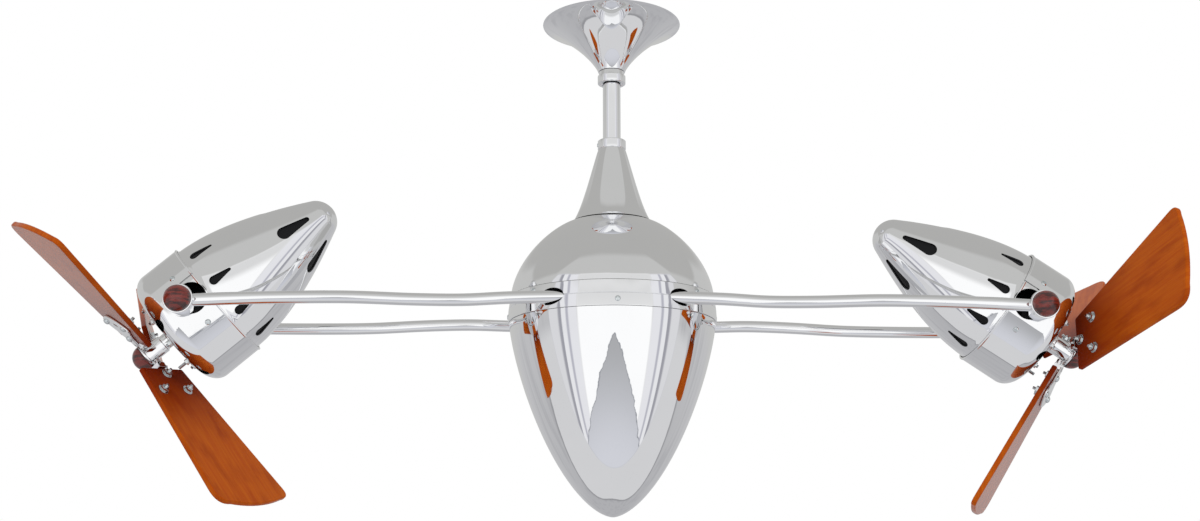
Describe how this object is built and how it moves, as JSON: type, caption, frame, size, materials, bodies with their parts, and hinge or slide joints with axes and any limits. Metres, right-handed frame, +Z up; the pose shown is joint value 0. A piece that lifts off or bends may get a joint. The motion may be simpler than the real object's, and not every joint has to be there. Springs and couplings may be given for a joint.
{
  "type": "twin head ceiling fan",
  "caption": "Rotational ceiling fan: two tilting bullet-shaped motor heads with wooden blades on paired curved arms round a chrome teardrop body under a short downrod.",
  "frame": {"origin": "top face of the ceiling bracket, at the ceiling plane, on the axis of the downrod", "axes": "+Z up to the ceiling, +X along the arms to the right head, -Y to the front"},
  "size_m": [1.2969, 0.4161, 0.592],
  "materials": {
    "chrome": "polished mirror chrome on spun and drawn metal",
    "steel": "plain zinc-grey steel",
    "brass": "turned contact rings",
    "black_steel": "satin black enamel",
    "phenolic": "moulded brown insulator",
    "blade_wood": "orange-brown stained wood under gloss lacquer",
    "dark_wood": "dark red-brown turned wood under gloss lacquer"
  },
  "bodies": {
    "mount": {"ceiling_bracket": "steel", "hanger_ball": "black_steel", "hanger_pin": "steel", "downrod": "chrome", "canopy": "chrome", "canopy_collar": "chrome", "canopy_set_screw": "steel", "neck_bell": "chrome", "neck_set_screw": "steel", "slip_ring": "brass", "upper_bearing": "steel", "lower_bearing": "steel", "rod_nut": "steel"},
    "carousel": {"dome": "chrome", "ring_band": "chrome", "lower_shell": "chrome", "arm_carrier": "black_steel", "brush_holder": "phenolic", "front_left_arm": "chrome", "front_right_arm": "chrome", "back_left_arm": "chrome", "back_right_arm": "chrome"},
    "left_head": {"left_cup": "chrome", "left_nose_shell": "chrome", "left_motor_frame": "black_steel", "left_motor_housing": "black_steel", "left_front_pin": "steel", "left_back_pin": "steel"},
    "right_head": {"right_cup": "chrome", "right_nose_shell": "chrome", "right_motor_frame": "black_steel", "right_motor_housing": "black_steel", "right_front_pin": "steel", "right_back_pin": "steel"},
    "left_rotor": {"left_rotor_shaft": "steel", "left_hub": "chrome", "left_finial": "dark_wood", "left_blade_iron_1": "chrome", "left_blade_iron_2": "chrome", "left_blade_iron_3": "chrome", "left_blade_1": "blade_wood", "left_blade_2": "blade_wood", "left_blade_3": "blade_wood"},
    "right_rotor": {"right_rotor_shaft": "steel", "right_hub": "chrome", "right_finial": "dark_wood", "right_blade_iron_1": "chrome", "right_blade_iron_2": "chrome", "right_blade_iron_3": "chrome", "right_blade_1": "blade_wood", "right_blade_2": "blade_wood", "right_blade_3": "blade_wood"},
    "front_left_knob": {"front_left_knob": "dark_wood"},
    "front_right_knob": {"front_right_knob": "dark_wood"},
    "back_left_knob": {"back_left_knob": "dark_wood"},
    "back_right_knob": {"back_right_knob": "dark_wood"}
  },
  "joints": [
    {"name": "axial_rotation", "type": "hinge", "parent": "mount", "child": "carousel", "pos_m": [0, 0, -0.357], "axis": [0, 0, 1], "continuous": true},
    {"name": "left_head_tilt", "type": "hinge", "parent": "carousel", "child": "left_head", "pos_m": [-0.477, 0, -0.362], "axis": [0, 1, 0], "range_deg": [-49, 131]},
    {"name": "right_head_tilt", "type": "hinge", "parent": "carousel", "child": "right_head", "pos_m": [0.477, 0, -0.362], "axis": [0, 1, 0], "range_deg": [-124, 56]},
    {"name": "left_rotor_spin", "type": "hinge", "parent": "left_head", "child": "left_rotor", "pos_m": [-0.477, 0, -0.362], "axis": [0.7547, 0, 0.6561], "continuous": true},
    {"name": "right_rotor_spin", "type": "hinge", "parent": "right_head", "child": "right_rotor", "pos_m": [0.477, 0, -0.362], "axis": [-0.829, 0, 0.5592], "continuous": true},
    {"name": "front_left_knob_turn", "type": "hinge", "parent": "left_head", "child": "front_left_knob", "pos_m": [-0.477, -0.105, -0.362], "axis": [0, -1, 0], "range_deg": [0, 360]},
    {"name": "front_right_knob_turn", "type": "hinge", "parent": "right_head", "child": "front_right_knob", "pos_m": [0.477, -0.105, -0.362], "axis": [0, -1, 0], "range_deg": [0, 360]},
    {"name": "back_left_knob_turn", "type": "hinge", "parent": "left_head", "child": "back_left_knob", "pos_m": [-0.477, 0.105, -0.362], "axis": [0, 1, 0], "range_deg": [0, 360]},
    {"name": "back_right_knob_turn", "type": "hinge", "parent": "right_head", "child": "back_right_knob", "pos_m": [0.477, 0.105, -0.362], "axis": [0, 1, 0], "range_deg": [0, 360]}
  ]
}
